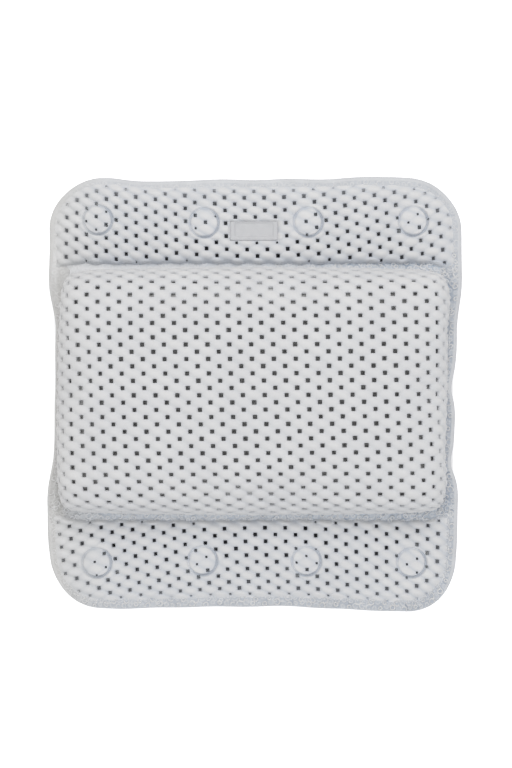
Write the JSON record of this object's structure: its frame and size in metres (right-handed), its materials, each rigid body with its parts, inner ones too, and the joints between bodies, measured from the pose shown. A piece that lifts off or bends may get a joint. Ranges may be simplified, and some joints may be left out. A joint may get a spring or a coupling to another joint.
{
  "type": "bath pillow",
  "caption": "Padded bath pillow of foamed net with a crowned cushion between two folding flaps that carry suction cups.",
  "frame": {"origin": "on the surface that the pillow lies on, under the middle of its outline", "axes": "+Z out of the front of the cushion, +Y towards the upper flap, +X to the right seen from the front"},
  "size_m": [0.32, 0.336, 0.0543],
  "materials": {
    "foam_net": "matte",
    "weld_band": "satin",
    "plate_vinyl": "satin",
    "cup_vinyl": "gloss",
    "filling": "matte"
  },
  "bodies": {
    "cushion": {"cushion_front_cover": "foam_net", "cushion_back_panel": "foam_net", "foam_core": "filling", "left_edge_band": "weld_band", "right_edge_band": "weld_band", "upper_seam_band": "weld_band", "lower_seam_band": "weld_band"},
    "upper_flap": {"upper_flap_net": "foam_net", "upper_edge_band": "weld_band", "bare_plate": "plate_vinyl", "upper_suction_cup_1": "cup_vinyl", "upper_suction_cup_2": "cup_vinyl", "upper_suction_cup_3": "cup_vinyl", "upper_suction_cup_4": "cup_vinyl"},
    "lower_flap": {"lower_flap_net": "foam_net", "lower_edge_band": "weld_band", "lower_suction_cup_1": "cup_vinyl", "lower_suction_cup_2": "cup_vinyl", "lower_suction_cup_3": "cup_vinyl", "lower_suction_cup_4": "cup_vinyl"}
  },
  "joints": [
    {"name": "upper_flap_fold", "type": "hinge", "parent": "cushion", "child": "upper_flap", "pos_m": [0, 0.10055, 0.0143], "axis": [1, 0, 0], "range_deg": [-90, 45], "stiffness_Nm_per_rad": 0.06},
    {"name": "lower_flap_fold", "type": "hinge", "parent": "cushion", "child": "lower_flap", "pos_m": [0, -0.09705, 0.0143], "axis": [-1, 0, 0], "range_deg": [-90, 45], "stiffness_Nm_per_rad": 0.06}
  ]
}
